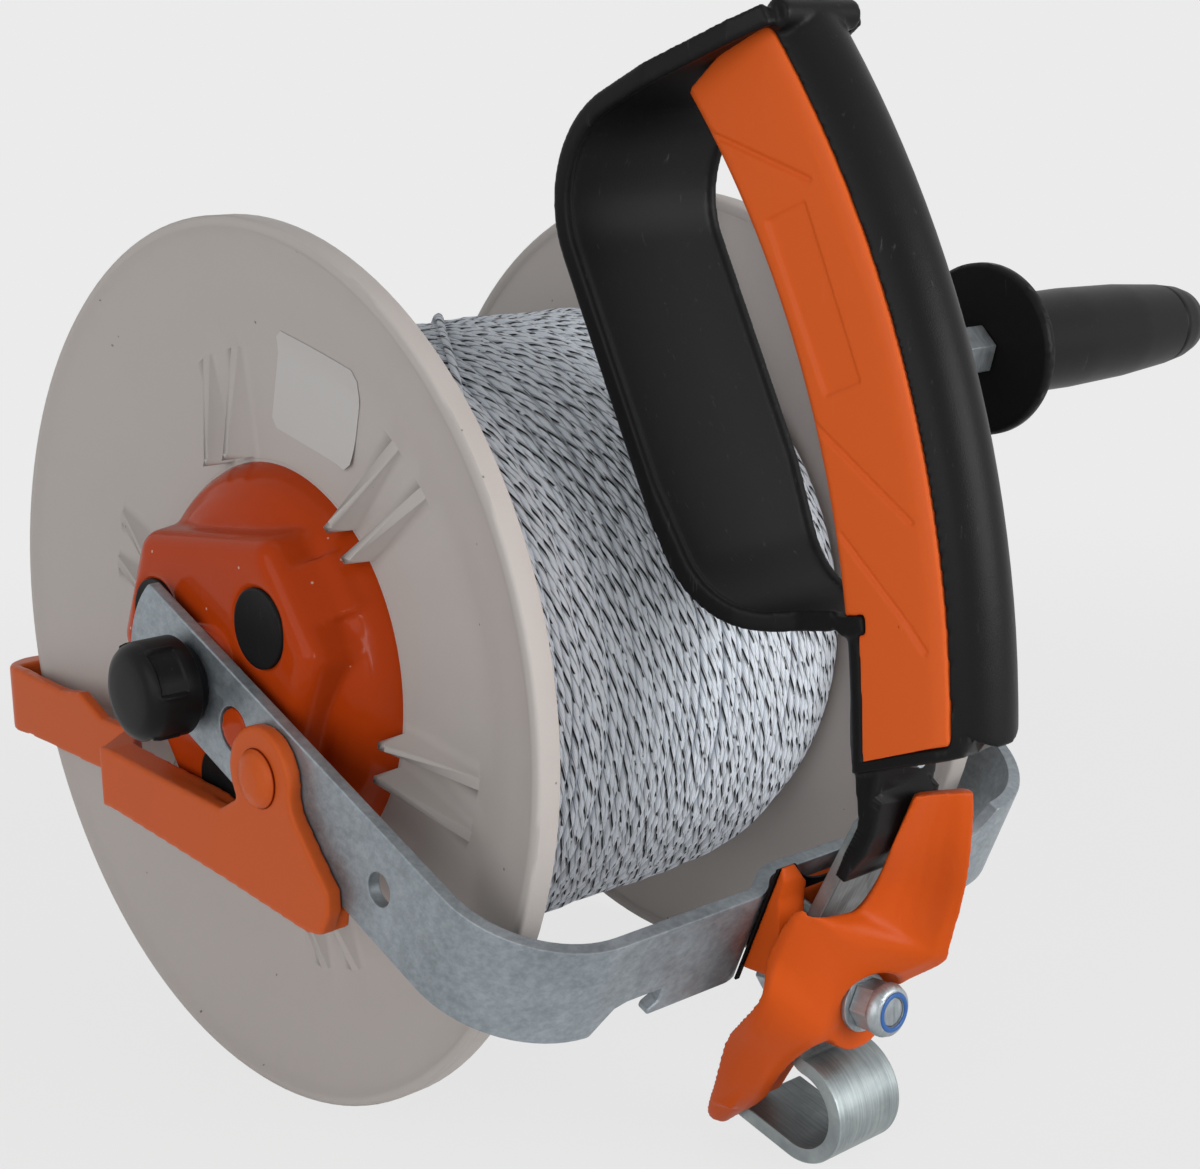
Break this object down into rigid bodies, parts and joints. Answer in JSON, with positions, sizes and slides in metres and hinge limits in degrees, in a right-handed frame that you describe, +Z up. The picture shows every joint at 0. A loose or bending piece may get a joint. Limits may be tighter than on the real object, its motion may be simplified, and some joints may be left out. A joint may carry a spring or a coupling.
{
  "type": "electric fence reel",
  "caption": "Hand reel for electric fence wire: a wire-filled spool in a flat-bar yoke with a geared crank, a brake lever and a hook handle with a thumb latch.",
  "frame": {"origin": "centre of the bounding box, on the surface that the reel stands on", "axes": "+X along the axle from the gear housing to the crank grip, -Y to the handle, +Z up"},
  "size_m": [0.3862, 0.3481, 0.3146],
  "materials": {
    "zinc": "zinc plated, dull",
    "steel": "plain turned",
    "bush_bronze": "plain turned",
    "black_plastic": "fine moulded grain",
    "black_rubber": "matt",
    "orange_plastic": "satin moulded",
    "orange_gloss": "glossy moulded",
    "gear_plastic": "natural nylon",
    "grey_plastic": "satin moulded",
    "wire": "twisted strands"
  },
  "bodies": {
    "frame": {"yoke_frame": "zinc", "hook_bar": "zinc", "handle_core": "black_plastic", "handle_inlay_left": "orange_plastic", "handle_inlay_right": "orange_plastic", "handle_screws": "zinc", "clamp_saddle": "orange_plastic", "clamp_gasket": "black_rubber", "frame_rivets": "zinc", "latch_bolt": "zinc", "latch_washer": "zinc", "lock_nut": "zinc", "latch_spring": "steel", "gear_housing": "orange_gloss", "gear_cover": "orange_gloss", "ring_gear": "gear_plastic", "housing_plugs": "black_plastic", "near_bush": "bush_bronze", "far_bush": "bush_bronze", "lever_pin": "orange_plastic", "drag_spring": "steel", "drag_pad": "black_rubber"},
    "spool": {"near_flange": "grey_plastic", "far_flange": "grey_plastic", "drum": "grey_plastic", "wire_core": "wire", "wire_layer": "wire", "sun_gear": "gear_plastic", "spool_bush_near": "bush_bronze", "spool_bush_far": "bush_bronze"},
    "crank": {"drive_shaft": "steel", "shaft_spacer": "steel", "planet_carrier": "gear_plastic", "planet_pins": "steel", "crank_arm": "zinc", "crank_nut": "zinc", "crank_pin": "zinc"},
    "planet_1": {"planet_gear_1": "gear_plastic"},
    "planet_2": {"planet_gear_2": "gear_plastic"},
    "planet_3": {"planet_gear_3": "gear_plastic"},
    "hand_grip": {"crank_grip": "black_plastic", "grip_cap": "black_plastic"},
    "lever": {"brake_lever": "orange_plastic"},
    "hook_latch": {"latch": "orange_plastic"},
    "knob": {"drag_knob": "black_plastic"}
  },
  "joints": [
    {"name": "spool_spin", "type": "hinge", "parent": "frame", "child": "spool", "pos_m": [-0.0689, 0.0309, 0.13], "axis": [1, 0, 0], "continuous": true},
    {"name": "crank_turn", "type": "hinge", "parent": "frame", "child": "crank", "pos_m": [-0.0689, 0.0309, 0.13], "axis": [1, 0, 0], "continuous": true},
    {"name": "planet_1_spin", "type": "hinge", "parent": "crank", "child": "planet_1", "pos_m": [-0.1409, 0.05954, 0.14311], "axis": [1, 0, 0], "continuous": true},
    {"name": "planet_2_spin", "type": "hinge", "parent": "crank", "child": "planet_2", "pos_m": [-0.1409, 0.00522, 0.14825], "axis": [1, 0, 0], "continuous": true},
    {"name": "planet_3_spin", "type": "hinge", "parent": "crank", "child": "planet_3", "pos_m": [-0.1409, 0.02794, 0.09864], "axis": [1, 0, 0], "continuous": true},
    {"name": "grip_spin", "type": "hinge", "parent": "crank", "child": "hand_grip", "pos_m": [0.1311, -0.05111, 0.20701], "axis": [1, 0, 0], "continuous": true},
    {"name": "brake_swing", "type": "hinge", "parent": "frame", "child": "lever", "pos_m": [-0.1799, -0.01002, 0.11127], "axis": [1, 0, 0], "range_deg": [0, 12]},
    {"name": "latch_swing", "type": "hinge", "parent": "frame", "child": "hook_latch", "pos_m": [-0.0689, -0.1221, 0.04752], "axis": [0, 1, 0], "range_deg": [0, 20], "stiffness_Nm_per_rad": 0.4, "springref_deg": -17.19},
    {"name": "knob_turn", "type": "hinge", "parent": "frame", "child": "knob", "pos_m": [-0.1849, 0.0309, 0.13], "axis": [1, 0, 0], "range_deg": [0, 270]}
  ],
  "couplings": [
    {"joint": "crank_turn", "follows": "spool_spin", "ratio": 0.33333},
    {"joint": "planet_1_spin", "follows": "spool_spin", "ratio": -1.3333},
    {"joint": "planet_2_spin", "follows": "spool_spin", "ratio": -1.3333},
    {"joint": "planet_3_spin", "follows": "spool_spin", "ratio": -1.3333}
  ]
}
